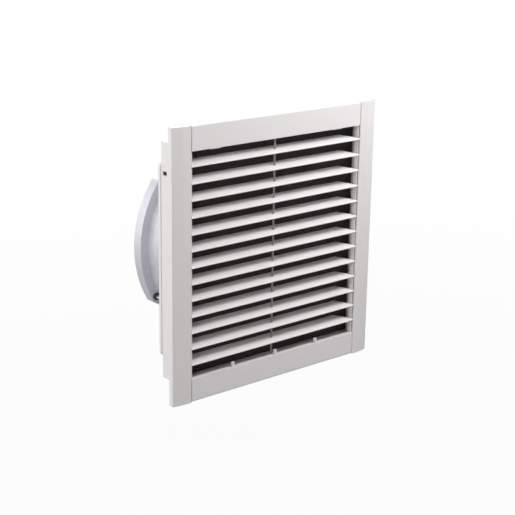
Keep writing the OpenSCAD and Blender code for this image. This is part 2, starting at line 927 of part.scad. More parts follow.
module guard_screws() {
    tip = rim_front - arm_screw_tail;
    head = bracket_back + eye_t;
    color("silver") four_round(arm_angle, arm_screw_pcr) {
        rod_y(0, 0, tip, head - tip, arm_screw_r, 32);
        screw_head(head, 3.5, 2.4);
    }
}

// The capacitor stands in its cup clip on the upper right corner of the tray
module capacitor() {
    low = tray_back + clip_t;
    tag_y = low + cap_len - sink;
    color("whitesmoke") tray_corner_place(1, cap_pcr) {
        translate([0, low, 0]) turned(64) polygon([
            [0, 0], [cap_r - cap_round[0], 0], [cap_r, cap_round[0]], [cap_r, cap_len - cap_round[1]],
            [cap_r - cap_round[1], cap_len], [0, cap_len]
        ]);
        for (side = [-1, 1]) translate([side * tag_x, tag_y, 0])
            block([-tag_size[0] / 2, 0, -tag_size[2] / 2], [tag_size[0] / 2, tag_size[1], tag_size[2] / 2]);
    }
}

module capacitor_clip() {
    color("silver") tray_corner_place(1, cap_pcr) difference() {
        rod_y(0, 0, tray_back, clip_h, cap_r + running_gap + clip_t, 64);
        rod_y(0, 0, tray_back + clip_t, clip_h, cap_r + running_gap, 64);
    }
}

// The centre of each way of the terminal block, along its length
module terminal_places() {
    for (k = [0:terminal_ways - 1])
        translate([0, 0, terminal_way * (k + 0.5) - terminal_size[0] / 2]) children();
}

module terminal_block() {
    half_w = terminal_size[0] / 2;
    half_d = terminal_size[1] / 2;
    top = tray_back + terminal_size[2];
    port_y = tray_back + terminal_port_y;
    color([0.93, 0.93, 0.9]) tray_corner_place(-1, terminal_pcr) difference() {
        block([-half_d, tray_back, -half_w], [half_d, top, half_w]);
        terminal_places() {
            rod_y(0, 0, top - terminal_well[1], terminal_well[1] + past, terminal_well[0], 32);
            block([-half_d - past, port_y, -terminal_port[2] / 2],
                  [terminal_port[0] - half_d, port_y + terminal_port[1], terminal_port[2] / 2]);
        }
        for (k = [1:terminal_ways - 1]) translate([0, 0, terminal_way * k - half_w])
            block([-half_d - past, tray_back + terminal_groove[1], -terminal_groove[0] / 2],
                  [half_d + past, top + past, terminal_groove[0] / 2]);
    }
}

module terminal_screws() {
    color("silver") tray_corner_place(-1, terminal_pcr)
        terminal_places() screw_head(tray_back + terminal_size[2] - terminal_well[1], 3.2, 2.4);
}

module earth_screw() {
    tip = box_depth + past;
    color([0.8, 0.66, 0.3]) translate([earth_x, 0, earth_z]) {
        rod_y(0, 0, tip, tray_back - tip, arm_screw_r, 32);
        screw_head(tray_back, 4, 2.8);
    }
}

base_frame();
panel_gasket();
louvre_cover();
louvre_slats();
hinge_pins();
filter_mat();
filter_grid();
fan_tray();
tray_clips();
tray_screws();
fan_shroud();
rear_rim();
fan_stays();
stay_grommets();
stay_nuts();
motor_bracket();
motor_flange();
motor_screws();
stator_core();
stator_windings();
front_bearing();
rear_bearing();
preload_washer();
shaft();
retaining_ring();
rotor_can();
impeller_blades();
finger_guard();
guard_screws();
capacitor();
capacitor_clip();
terminal_block();
terminal_screws();
earth_screw();
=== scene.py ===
import math

import bmesh
import bpy
from bpy.props import FloatProperty, FloatVectorProperty, PointerProperty
from mathutils import Matrix, Vector


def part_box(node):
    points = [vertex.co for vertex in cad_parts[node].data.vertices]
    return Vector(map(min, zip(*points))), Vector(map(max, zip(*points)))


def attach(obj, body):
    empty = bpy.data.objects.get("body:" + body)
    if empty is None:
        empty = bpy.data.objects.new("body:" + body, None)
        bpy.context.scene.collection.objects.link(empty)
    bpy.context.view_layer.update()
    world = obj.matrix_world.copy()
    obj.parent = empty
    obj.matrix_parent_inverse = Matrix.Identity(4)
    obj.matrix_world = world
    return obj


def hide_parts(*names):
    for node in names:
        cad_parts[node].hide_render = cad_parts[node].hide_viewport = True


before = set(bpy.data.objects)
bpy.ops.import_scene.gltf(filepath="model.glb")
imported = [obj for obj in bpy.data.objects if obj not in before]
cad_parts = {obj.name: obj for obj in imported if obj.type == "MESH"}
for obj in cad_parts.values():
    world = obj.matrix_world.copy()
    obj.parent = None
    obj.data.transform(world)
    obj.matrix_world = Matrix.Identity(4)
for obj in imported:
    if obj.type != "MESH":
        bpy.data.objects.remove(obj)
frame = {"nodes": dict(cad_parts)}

bl_info = {
    "name": "Cabinet filter fan",
    "version": (1, 0, 0),
    "blender": (4, 5, 0),
    "location": "3D View > Sidebar > Filter fan",
    "description": "Finishes, small pieces and a stage for a louvred cabinet filter fan",
    "category": "Object",
}

MM = 0.001
MERGE = 0.01 * MM
NODES = frame["nodes"]
PANEL_AXIS = "Y"

# Sizes of the solids that the small pieces sit on, in metres and degrees
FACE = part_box("base_frame")[0].y
SEAM_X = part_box("louvre_cover")[1].x
TRAY_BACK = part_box("fan_tray")[1].y
RIM_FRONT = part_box("rear_rim")[0].y
SHEET = 1.5 * MM
SHROUD_R = 126.7 * MM
FAN_TURN = -3
ROTOR_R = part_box("rotor_can")[1].x
BLADES = 7
BLADE_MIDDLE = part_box("rotor_can")[0].y + 25 * MM

# Painted shade in the seams and on the rib: how much it darkens a seam, how far it spreads beside the seams
# and the rib, and at which depths
SEAM_PAINTED_SHADE = 0.45
SEAM_SPREAD = (0.4 * MM, 0.7 * MM)
SEAM_MOUTH = (FACE + 0.3 * MM, FACE + 1.2 * MM)
SEAM_BOTTOM = (-1.2 * MM, -0.6 * MM)
RIB_SPREAD = (0.7 * MM, 1.0 * MM)
RIB_FRONT = (-0.6 * MM, -0.1 * MM)

# The stage, in metres: each lamp's place and width, the floor, and the cards that the metal mirrors
LAMPS = {
    "key": ((0.36, -0.42, 0.62), 0.3),
    "side": ((-1.3, 0.1, 0.4), 2.4),
    "fill": ((-0.4, -1.0, 1.2), 1.0),
    "rear": ((0.7, 1.6, 0.7), 1.2),
}
FLOOR_R = 12.0
SHADOW_SHARE = 0.05
SHADOW_FADE = (0.5, 1.6)
LOWER_CARD_R = 1.6
UPPER_CARD_R = 1.3
UPPER_CARD_Z = 0.85

# The camera: the point in its middle, its azimuth, elevation and roll, its distance and its lens
LOOK_AT = Vector((-0.0214, 0.0048, -0.01))
CAMERA_TURN = (-39.83, 17.11, 0.88)
CAMERA_AWAY = 1.559
LENS_MM = 89.2
SENSOR_MM = 36


def colour(name, description, value):
    """A colour that a user can change."""
    return FloatVectorProperty(
        name=name, description=description, subtype="COLOR", size=3, min=0.0, max=1.0, default=value)


def length(name, description, value):
    """A length in metres that a user can change."""
    return FloatProperty(name=name, description=description, default=value, min=0.0, unit="LENGTH")


class FanColours(bpy.types.PropertyGroup):
    """The colours of the fan's finishes"""
    frame: colour("Frame", "Moulded flange, stiles and duct box", (0.79, 0.775, 0.765))
    cover: colour("Cover", "Moulded rails and rib of the louvre cover", (0.81, 0.79, 0.785))
    # Painted light: the slats are the cover's moulding, made paler than its rails to stand in for the light
    # on their upward faces
    slats: colour("Slats", "Moulded slats of the louvre cover", (0.90, 0.88, 0.87))
    tray: colour("Tray", "Moulded tray that carries the fan", (0.80, 0.79, 0.79))
    grid: colour("Grid", "Lattice behind the filter mat", (0.74, 0.73, 0.72))
    mat: colour("Filter mat", "Bonded fibre of the filter mat", (0.030, 0.026, 0.024))
    sheet: colour("Shroud", "Coated sheet of the shroud and its rear rim", (0.66, 0.65, 0.70))
    zinc: colour("Zinc", "Bright zinc plate on screws and stays", (0.74, 0.74, 0.72))
    bracket: colour("Bracket", "Zinc-coated motor bracket", (0.60, 0.60, 0.61))
    casting: colour("Casting", "Aluminium of the motor's flange", (0.66, 0.67, 0.69))
    rotor: colour("Rotor", "Black paint of the rotor", (0.028, 0.028, 0.031))
    blade: colour("Blades", "Dark paint of the blades", (0.045, 0.045, 0.050))
    copper: colour("Copper", "Varnished copper wire", (0.50, 0.20, 0.075))
    brass: colour("Brass", "Brass screws and clamps", (0.66, 0.49, 0.20))
    capacitor: colour("Capacitor", "Case of the run capacitor", (0.72, 0.72, 0.69))
    terminal: colour("Terminal block", "Polyamide of the terminal block", (0.76, 0.74, 0.67))
    nylon: colour("Nylon", "Black nylon of the tray's clips", (0.022, 0.022, 0.024))
    rubber: colour("Rubber", "Grommets and gasket", (0.030, 0.030, 0.031))


class FanSizes(bpy.types.PropertyGroup):
    """The sizes of the small pieces"""
    mat_cell: length("Mat cell", "Distance between the points of the filter mat", 3 * MM)
    mat_relief: length("Mat relief", "Depth of the hollows in the filter mat", 1.4 * MM)
    weld_r: length("Weld", "Radius of a spot weld on the rear rim", 2.4 * MM)
    bead_r: length("Bead", "Radius of a weld bead at a blade's root", 2.2 * MM)
    drop_r: length("Wire weld", "Radius of a weld where two guard wires cross", 1.5 * MM)
    washer_r: length("Washer", "Outer radius of a toothed washer", 5.6 * MM)
    grain: length("Grain", "Size of the grain on the mouldings", 0.5 * MM)


class FanStage(bpy.types.PropertyGroup):
    """The stage's lamps and floor"""
    floor_z: FloatProperty(name="Floor", description="Height of the floor", default=-0.31, unit="LENGTH")
    key: FloatProperty(name="Key lamp", description="Power at the upper right", default=5.6, unit="POWER")
    side: FloatProperty(name="Side lamp", description="Power at the left", default=28.5, unit="POWER")
    fill: FloatProperty(name="Fill lamp", description="Power high in front", default=1.0, unit="POWER")
    rear: FloatProperty(name="Rear lamp", description="Power behind the right", default=15.0, unit="POWER")
    ambient: FloatProperty(name="Ambient", description="Strength of the room's light", default=0.10)


# Shader nodes

class Socket:
    """An output of a shader node, which takes part in sums."""

    def __init__(self, graph, output):
        self.graph = graph
        self.output = output

    def maths(self, operation, other=0.0, flipped=False):
        """Adds a Math node on this value and another."""
        first, second = (other, self) if flipped else (self, other)
        return self.graph.node("ShaderNodeMath", {"operation": operation}, {0: first, 1: second})

    def __add__(self, other):
        return self.maths("ADD", other)

    def __radd__(self, other):
        return self.maths("ADD", other, True)

    def __sub__(self, other):
        return self.maths("SUBTRACT", other)

    def __rsub__(self, other):
        return self.maths("SUBTRACT", other, True)

    def __mul__(self, other):
        return self.maths("MULTIPLY", other)

    def __rmul__(self, other):
        return self.maths("MULTIPLY", other, True)

    def __truediv__(self, other):
        return self.maths("DIVIDE", other)

    def wave(self):
        """A wave between 0 and 1 whose length is 1."""
        return 0.5 + 0.5 * (self * math.tau).maths("SINE")

    def within(self, low, high):
        """0 up to low, 1 from high, and a straight ramp between them."""
        return self.graph.node("ShaderNodeMapRange", {}, {0: self, 1: low, 2: high})


class Graph:
    """The node tree of a material or the world, with short calls to add to it."""

    def __init__(self, tree):
        self.tree = tree

    def node(self, kind, settings=None, inputs=None, output=0):
        """Adds a node: its settings first, then the values or links of its sockets."""
        made = self.tree.nodes.new(kind)
        for name, value in (settings or {}).items():
            setattr(made, name, value)
        for name, value in (inputs or {}).items():
            self.feed(made.inputs[name], value)
        return Socket(self, made.outputs[output])

    def feed(self, socket, value):
        """Links an output to a socket, or sets the socket's own value."""
        if isinstance(value, Socket):
            self.tree.links.new(value.output, socket)
        else:
            socket.default_value = value

    def seen(self):
        """1 for what the camera sees straight, mirrored or through glass."""
        path = self.tree.nodes.new("ShaderNodeLightPath")
        rays = [Socket(self, path.outputs[name]) for name in
                ("Is Camera Ray", "Is Glossy Ray", "Is Transmission Ray")]
        return (rays[0] + rays[1] + rays[2]).maths("MINIMUM", 1.0)


class Finish(Graph):
    """A material on the Principled shader."""

    def __init__(self, name, base, roughness, metallic=0.0, **constants):
        self.material = bpy.data.materials.new(name)
        self.material.use_nodes = True
        super().__init__(self.material.node_tree)
        self.shader = self.tree.nodes["Principled BSDF"]
        self.base = tuple(base)
        self.put("Base Color", (*self.base, 1.0))
        self.put("Roughness", roughness)
        self.put("Metallic", metallic)
        for name, value in constants.items():
            self.put(name.replace("_", " ").title(), value)

    def put(self, name, value):
        """Sets or links one of the shader's sockets."""
        self.feed(self.shader.inputs[name], value)

    def spot(self, scale):
        """Object coordinates, times a scale for each axis."""
        here = self.node("ShaderNodeTexCoord", output="Object")
        return self.node("ShaderNodeVectorMath", {"operation": "MULTIPLY"}, {0: here, 1: scale})

    def axis(self, name):
        """One of the object coordinates, in metres."""
        here = self.node("ShaderNodeTexCoord", output="Object")
        return self.node("ShaderNodeSeparateXYZ", {}, {0: here}, output=name)

    def radius(self):
        """Distance from the fan's axis, in metres."""
        return self.node("ShaderNodeVectorMath", {"operation": "LENGTH"}, {0: self.spot((1, 0, 1))}, "Value")

    def noise(self, size, detail=2.0, stretch=(1, 1, 1)):
        """Noise with features of a size in metres, longer along a stretched axis."""
        scale = tuple(1 / (size * part) for part in stretch)
        inputs = {"Vector": self.spot(scale), "Scale": 1.0, "Detail": detail}
        return self.node("ShaderNodeTexNoise", {}, inputs)

    def cells(self, size, output="Distance"):
        """Cells of a size in metres."""
        inputs = {"Vector": self.spot((1 / size,) * 3), "Scale": 1.0}
        return self.node("ShaderNodeTexVoronoi", {}, inputs, output)

    def edges(self, width):
        """1 along the edges of a shape, where rounding turns the surface most, and 0 on its faces."""
        rounded = self.node("ShaderNodeBevel", {"samples": 4}, {"Radius": width})
        plain = self.node("ShaderNodeNewGeometry", output="True Normal")
        inputs = {0: rounded, 1: plain}
        alike = self.node("ShaderNodeVectorMath", {"operation": "DOT_PRODUCT"}, inputs, "Value")
        return (1 - alike).within(0.02, 0.25)

    def tone(self, amount):
        """The base colour, made lighter or darker over the surface."""
        return self.node("ShaderNodeVectorMath", {"operation": "SCALE"}, {0: self.base, "Scale": amount})

    def mix(self, mask, first, second):
        """A colour between two others, which a Mix node has at its inputs 6 and 7 and its output 2."""
        inputs = {0: mask, 6: first, 7: second}
        return self.node("ShaderNodeMix", {"data_type": "RGBA"}, inputs, output=2)

    def relief(self, *heights, rounding=0.0):
        """Bumps from pairs of a height and its depth in metres, over rounded edges."""
        normal = None
        if rounding:
            normal = self.node("ShaderNodeBevel", {"samples": 4}, {"Radius": rounding})
        for height, depth in heights:
            inputs = {"Strength": 1.0, "Distance": depth, "Height": height}
            if normal:
                inputs["Normal"] = normal
            normal = self.node("ShaderNodeBump", {}, inputs)
        self.put("Normal", normal)

    def on(self, *names):
        """Puts the material on CAD nodes."""
        for name in names:
            for slot in NODES[name].material_slots:
                slot.material = self.material
        return self


# Finishes

def moulded(name, base, grain, sheen=0.46, rib_painted_shade=0.0):
    """Pale moulded plastic with a fine grain, edges that are rubbed smooth, and painted shade in its seams
    and, where asked for, on the cover's rib.
    """
    finish = Finish(name, base, sheen)
    fine = finish.noise(grain, 2)
    cloud = finish.noise(70 * MM, 3)
    rubbed = finish.edges(0.5 * MM)
    across = finish.axis("X").maths("ABSOLUTE")
    depth = finish.axis("Y")
    # Painted shade: the walls of the seams beside the stiles are darkened like a shadow in the gap
    beside = (across - SEAM_X).maths("ABSOLUTE")
    inside = depth.within(*SEAM_MOUTH) * (1 - depth.within(*SEAM_BOTTOM))
    seam_painted_shade = (1 - beside.within(*SEAM_SPREAD)) * inside
    shade = (0.975 + 0.03 * cloud + 0.02 * fine + 0.03 * rubbed) * (1 - SEAM_PAINTED_SHADE * seam_painted_shade)
    # Painted shade on the centre rib behind the slats, standing in for the slats' shadow on it
    if rib_painted_shade:
        rib = 1 - across.within(*RIB_SPREAD)
        shade = shade * (1 - rib_painted_shade * rib * depth.within(*RIB_FRONT))
    finish.put("Base Color", finish.tone(shade))
    finish.put("Roughness", sheen - 0.06 + 0.12 * fine - 0.1 * rubbed)
    finish.relief((fine, 0.025 * MM), rounding=0.45 * MM)
    return finish


def fibre(name, base):
    """Dark bonded fibre: strands in two directions over open hollows."""
    finish = Finish(name, base, 0.92)
    along = finish.noise(0.5 * MM, 3, (9, 1, 1))
    across = finish.noise(0.5 * MM, 3, (1, 1, 9))
    hollows = finish.noise(5 * MM, 3)
    strands = along.maths("MAXIMUM", across)
    finish.put("Base Color", finish.tone(0.35 + 0.9 * strands + 0.5 * hollows))
    finish.relief((hollows, 1.2 * MM), (strands, 0.6 * MM))
    return finish


def coated_sheet(name, base):
    """Sheet steel with a pale coat: faint crystals, soft stains and bright edges."""
    finish = Finish(name, base, 0.36)
    crystals = finish.cells(6 * MM, "Color")
    stains = finish.noise(28 * MM, 4)
    skin = finish.noise(0.7 * MM, 2)
    worn = finish.edges(0.5 * MM)
    finish.put("Base Color", finish.tone(0.92 + 0.07 * crystals + 0.09 * stains + 0.3 * worn))
    finish.put("Roughness", 0.34 + 0.07 * crystals + 0.13 * stains)
    finish.put("Metallic", 0.45 + 0.55 * worn)
    finish.relief((skin, 0.012 * MM), (stains, 0.15 * MM), rounding=0.4 * MM)
    return finish


def plated(name, base, sheen=0.3, cast=0.0):
    """Plated metal: fine rubbed marks, uneven sheen and bright edges."""
    finish = Finish(name, base, sheen, 1.0)
    marks = finish.noise(0.4 * MM, 3, (5, 1, 1))
    bloom = finish.noise(6 * MM, 3)
    worn = finish.edges(0.3 * MM)
    finish.put("Base Color", finish.tone(0.86 + 0.12 * bloom + 0.08 * marks + 0.1 * worn))
    finish.put("Roughness", sheen - 0.08 + 0.14 * bloom + 0.1 * marks)
    finish.relief((marks, (0.01 + cast) * MM), (bloom, cast * MM), rounding=0.25 * MM)
    return finish


def pressed_steel(name, base):
    """Zinc-coated steel with crystals, drawn marks and a paler edge."""
    finish = Finish(name, base, 0.38, 1.0)
    crystals = finish.cells(5 * MM, "Color")
    drawn = finish.noise(0.5 * MM, 3, (14, 1, 1))
    worn = finish.edges(0.4 * MM)
    finish.put("Base Color", finish.tone(0.68 + 0.3 * crystals + 0.12 * drawn + 0.14 * worn))
    finish.put("Roughness", 0.27 + 0.18 * crystals + 0.08 * drawn)
    finish.relief((drawn, 0.02 * MM), rounding=0.4 * MM)
    return finish


def dark_steel(name):
    """Phosphated steel, mottled and dull."""
    finish = Finish(name, (0.12, 0.12, 0.13), 0.5, 0.85)
    mottle = finish.cells(0.8 * MM)
    worn = finish.edges(0.3 * MM)
    finish.put("Base Color", finish.tone(0.8 + 0.5 * mottle + 1.6 * worn))
    finish.put("Roughness", 0.42 + 0.2 * mottle - 0.1 * worn)
    finish.relief((mottle, 0.02 * MM), rounding=0.25 * MM)
    return finish


def cast_metal(name, base):
    """Die-cast aluminium with a granular skin and turned bores."""
    finish = Finish(name, base, 0.48, 1.0)
    grains = finish.noise(0.9 * MM, 4)
    turned = (finish.radius() / (0.35 * MM)).wave()
    worn = finish.edges(0.4 * MM)
    finish.put("Base Color", finish.tone(0.84 + 0.16 * grains + 0.14 * worn))
    finish.put("Roughness", 0.4 + 0.16 * grains - 0.1 * worn)
    finish.relief((grains, 0.06 * MM), (turned, 0.006 * MM), rounding=0.4 * MM)
    return finish


def laminations(name):
    """A stack of thin steel sheets, with varnish that has run over their edges."""
    finish = Finish(name, (0.20, 0.21, 0.23), 0.45, 0.8)
    stack = (finish.axis("Y") / (0.65 * MM)).wave()
    varnish = finish.noise(7 * MM, 3)
    finish.put("Base Color", finish.tone(0.55 + 0.5 * stack + 0.3 * varnish))
    finish.put("Roughness", 0.35 + 0.2 * varnish)
    finish.relief((stack, 0.08 * MM))
    return finish


def windings(name, base):
    """Rows of varnished copper wire that run round the motor, with lacing over them."""
    finish = Finish(name, base, 0.3, 0.75, coat_weight=0.5, coat_roughness=0.15)
    turns = (finish.radius() / (0.9 * MM)).wave()
    rows = (finish.axis("Y") / (0.9 * MM)).wave()
    shade = finish.noise(3 * MM, 3)
    finish.put("Base Color", finish.tone(0.6 + 0.25 * turns + 0.2 * rows + 0.3 * shade))
    finish.put("Roughness", 0.22 + 0.2 * shade)
    finish.relief((turns, 0.25 * MM), (rows, 0.25 * MM))
    return finish


def ground_steel(name, base, sheen):
    """Ground steel with fine rings round the axis."""
    finish = Finish(name, base, sheen, 1.0)
    rings = (finish.radius() / (0.3 * MM) + finish.axis("Y") / (0.22 * MM)).wave()
    film = finish.noise(4 * MM, 3)
    finish.put("Base Color", finish.tone(0.88 + 0.1 * film + 0.04 * rings))
    finish.put("Roughness", sheen - 0.06 + 0.14 * film)
    finish.relief((rings, 0.004 * MM), rounding=0.25 * MM)
    return finish


def black_paint(name, base, sheen, bare=(0.42, 0.42, 0.44)):
    """Sprayed black paint with a slight orange peel, worn through along its edges."""
    finish = Finish(name, base, sheen)
    peel = finish.noise(1.4 * MM, 2)
    dust = finish.noise(24 * MM, 4)
    chips = (finish.edges(0.5 * MM) * finish.noise(3 * MM, 3)).within(0.42, 0.5)
    painted = finish.tone(0.85 + 0.7 * dust)
    finish.put("Base Color", finish.mix(chips, painted, (*bare, 1.0)))
    finish.put("Metallic", chips)
    finish.put("Roughness", sheen - 0.06 + 0.2 * dust)
    finish.relief((peel, 0.03 * MM), rounding=0.3 * MM)
    return finish


def rubber(name, base):
    """Matt black rubber with a little pale dust."""
    finish = Finish(name, base, 0.8)
    dust = finish.noise(2.5 * MM, 4).within(0.45, 0.8)
    fine = finish.noise(0.5 * MM, 2)
    finish.put("Base Color", finish.mix(dust * 0.25, finish.tone(0.9 + 0.2 * fine), (0.2, 0.19, 0.18, 1.0)))
    finish.relief((fine, 0.03 * MM), rounding=0.3 * MM)
    return finish


def foam(name, base):
    """Closed-cell foam with small pores."""
    finish = Finish(name, base, 0.9)
    pores = finish.cells(0.7 * MM)
    press = finish.noise(9 * MM, 3)
    finish.put("Base Color", finish.tone(0.7 + 0.7 * pores + 0.4 * press))
    finish.relief((pores, 0.25 * MM), (press, 0.4 * MM))
    return finish


def nylon(name, base):
    """Black nylon with a soft sheen and flow marks."""
    finish = Finish(name, base, 0.42)
    flow = finish.noise(1.2 * MM, 3, (1, 5, 1))
    rubbed = finish.edges(0.3 * MM)
    finish.put("Base Color", finish.tone(0.8 + 0.5 * flow + 1.5 * rubbed))
    finish.put("Roughness", 0.34 + 0.2 * flow)
    finish.relief((flow, 0.02 * MM), rounding=0.25 * MM)
    return finish


def smooth_case(name, base, sheen):
    """A smooth moulded case with faint sink marks."""
    finish = Finish(name, base, sheen)
    sinks = finish.noise(9 * MM, 2)
    fine = finish.noise(0.8 * MM, 2)
    rubbed = finish.edges(0.4 * MM)
    finish.put("Base Color", finish.tone(0.96 + 0.05 * sinks + 0.03 * rubbed))
    finish.put("Roughness", sheen - 0.05 + 0.08 * fine + 0.08 * sinks)
    finish.relief((sinks, 0.12 * MM), (fine, 0.006 * MM), rounding=0.4 * MM)
    return finish


# Modelling

def alone(piece):
    """Leaves one piece selected and active."""
    bpy.ops.object.select_all(action="DESELECT")
    piece.select_set(True)
    bpy.context.view_layer.objects.active = piece


def start(add, **values):
    """Adds a primitive with nothing else selected, and opens it in edit mode."""
    bpy.ops.object.select_all(action="DESELECT")
    add(**values)
    piece = bpy.context.object
    bpy.ops.object.transform_apply(location=True, rotation=True, scale=True)
    bpy.ops.object.mode_set(mode="EDIT")
    return piece


def choose(piece, kind, wanted):
    """Selects the wanted parts by a vert's place, an edge's two ends, or a face's middle and normal."""
    bpy.ops.mesh.select_mode(type={"verts": "VERT", "edges": "EDGE", "faces": "FACE"}[kind])
    bpy.ops.mesh.select_all(action="DESELECT")
    mesh = bmesh.from_edit_mesh(piece.data)
    for part in getattr(mesh, kind):
        if kind == "verts":
            hit = wanted(part.co)
        elif kind == "edges":
            hit = wanted(part.verts[0].co, part.verts[1].co)
        else:
            hit = wanted(part.calc_center_median(), part.normal)
        part.select_set(bool(hit))
    mesh.select_flush_mode()
    bmesh.update_edit_mesh(piece.data)


def finished(piece, name, body, finish, angle=35):
    """Closes a piece: outward faces, smooth shading, material and body."""
    if bpy.context.object and bpy.context.object.mode == "EDIT":
        bpy.ops.object.mode_set(mode="OBJECT")
    alone(piece)
    bpy.ops.object.mode_set(mode="EDIT")
    bpy.ops.mesh.select_all(action="SELECT")
    bpy.ops.mesh.remove_doubles(threshold=MERGE)
    bpy.ops.mesh.normals_make_consistent(inside=False)
    bpy.ops.object.mode_set(mode="OBJECT")
    bpy.ops.object.shade_smooth_by_angle(angle=math.radians(angle))
    piece.name = name
    piece.data.name = name
    piece.data.materials.clear()
    piece.data.materials.append(finish.material)
    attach(piece, body)
    return piece


def copied(model, places):
    """One piece made of a copy of the model at each place, each with its own mesh."""
    if model.mode == "EDIT":
        bpy.ops.object.mode_set(mode="OBJECT")
    made = []
    for place in places:
        copy = model.copy()
        copy.data = model.data.copy()
        copy.data.transform(place)
        bpy.context.scene.collection.objects.link(copy)
        made.append(copy)
    bpy.data.objects.remove(model)
    bpy.ops.object.select_all(action="DESELECT")
    for copy in made:
        copy.select_set(True)
    bpy.context.view_layer.objects.active = made[0]
    bpy.ops.object.join()
    return made[0]


def solids(node):
    """The lowest and highest corners of each solid of a CAD node."""
    mesh = bmesh.new()
    mesh.from_mesh(NODES[node].data)
    bmesh.ops.remove_doubles(mesh, verts=mesh.verts, dist=MERGE)
    left = set(mesh.verts)
    boxes = []
    while left:
        front = [left.pop()]
        points = []
        while front:
            here = front.pop()
            points.append(here.co.copy())
            for edge in here.link_edges:
                other = edge.other_vert(here)
                if other in left:
                    left.remove(other)
                    front.append(other)
        boxes.append((Vector(map(min, zip(*points))), Vector(map(max, zip(*points)))))
    mesh.free()
    return boxes


def round_axis(angle):
    """A turn about the fan's axis that takes +X towards +Z."""
    return Matrix.Rotation(-math.radians(angle), 4, PANEL_AXIS)


# Pieces

class Dressing:
    """What the operators of this file share."""
    bl_options = {"REGISTER", "UNDO"}

    def execute(self, context):
        scene = context.scene
        self.make(scene.fan_colours, scene.fan_sizes)
        return {"FINISHED"}


class FAN_OT_mouldings(Dressing, bpy.types.Operator):
    """Gives the frame, cover, slats, grid and tray their moulded finishes"""
    bl_idname = "filter_fan.mouldings"
    bl_label = "Mouldings"

    def make(self, colours, sizes):
        moulded("Grained frame moulding", colours.frame, sizes.grain).on("base_frame")
        # The cover's rib gets painted shade, for the shadow of the slats in front of it
        moulded("Grained cover moulding", colours.cover, sizes.grain, rib_painted_shade=0.6).on("louvre_cover")
        moulded("Grained slat moulding", colours.slats, sizes.grain).on("louvre_slats")
        moulded("Smooth tray moulding", colours.tray, 1.6 * sizes.grain, 0.4).on("fan_tray")
        moulded("Lattice moulding", colours.grid, 1.2 * sizes.grain, 0.5).on("filter_grid")
        nylon("Black nylon", colours.nylon).on("tray_clips")
        foam("Gasket foam", colours.rubber).on("panel_gasket")


class FAN_OT_filter_mat(Dressing, bpy.types.Operator):
    """Models the fibrous filter mat in the place of its plain block"""
    bl_idname = "filter_fan.filter_mat"
    bl_label = "Filter mat"

    def make(self, colours, sizes):
        low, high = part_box("filter_mat")
        width, height = high.x - low.x, high.z - low.z
        columns = round(width / sizes.mat_cell)
        rows = round(height / sizes.mat_cell)
        mat = start(bpy.ops.mesh.primitive_grid_add, size=1.0, x_subdivisions=columns, y_subdivisions=rows)
        bpy.ops.mesh.select_all(action="SELECT")
        bpy.ops.transform.resize(value=(width, height, 1.0))
        bpy.ops.object.mode_set(mode="OBJECT")
        mat.data.transform(Matrix.Translation((0, low.y, 0)) @ Matrix.Rotation(math.pi / 2, 4, "X"))
        bpy.ops.object.mode_set(mode="EDIT")
        bpy.ops.mesh.select_all(action="SELECT")
        bpy.ops.mesh.extrude_region_move(TRANSFORM_OT_translate={"value": (0, high.y - low.y, 0)})
        bpy.ops.mesh.select_all(action="SELECT")
        bpy.ops.mesh.normals_make_consistent(inside=False)
        bpy.ops.object.mode_set(mode="OBJECT")
        for name, size, share in (("Tufts", 4 * MM, 0.6), ("Waves", 22 * MM, 0.4)):
            pattern = bpy.data.textures.new(name, "CLOUDS")
            pattern.noise_scale = size
            hollows = mat.modifiers.new(name, "DISPLACE")
            hollows.texture = pattern
            hollows.texture_coords = "LOCAL"
            hollows.strength = sizes.mat_relief * share
            hollows.mid_level = 1.0
            alone(mat)
            bpy.ops.object.modifier_apply(modifier=name)
        finished(mat, "fibre_mat", "frame", fibre("Dark bonded fibre", colours.mat), 60)
        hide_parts("filter_mat")


class FAN_OT_shroud(Dressing, bpy.types.Operator):
    """Finishes the shroud and its rim, and adds the spot welds that join them"""
    bl_idname = "filter_fan.shroud"
    bl_label = "Shroud"

    def make(self, colours, sizes):
        coat = coated_sheet("Coated shroud sheet", colours.sheet)
        coat.on("fan_shroud", "rear_rim")
        radius = sizes.weld_r
        rise = 0.5 * MM
        dent = 0.35 * MM
        round_off = 0.12 * MM
        steps = (-22, -2, 22)
        weld = start(bpy.ops.mesh.primitive_cylinder_add, vertices=12, radius=radius, depth=rise,
                     rotation=(math.pi / 2, 0, 0))
        choose(weld, "faces", lambda middle, normal: normal.y > 0.9)
        bpy.ops.mesh.inset(thickness=0.3 * radius)
        bpy.ops.mesh.inset(thickness=0.15 * radius, depth=-dent)
        choose(weld, "faces", lambda middle, normal: abs(normal.y) < 0.5)
        bpy.ops.mesh.bevel(offset=round_off, segments=1, affect="EDGES")
        out = Matrix.Translation((SHROUD_R + 1.2 * radius, RIM_FRONT + SHEET, 0))
        angles = [FAN_TURN + 90 * quarter + step for quarter in range(4) for step in steps]
        finished(copied(weld, [round_axis(angle) @ out for angle in angles]),
                 "rim_spot_welds", "frame", coat)


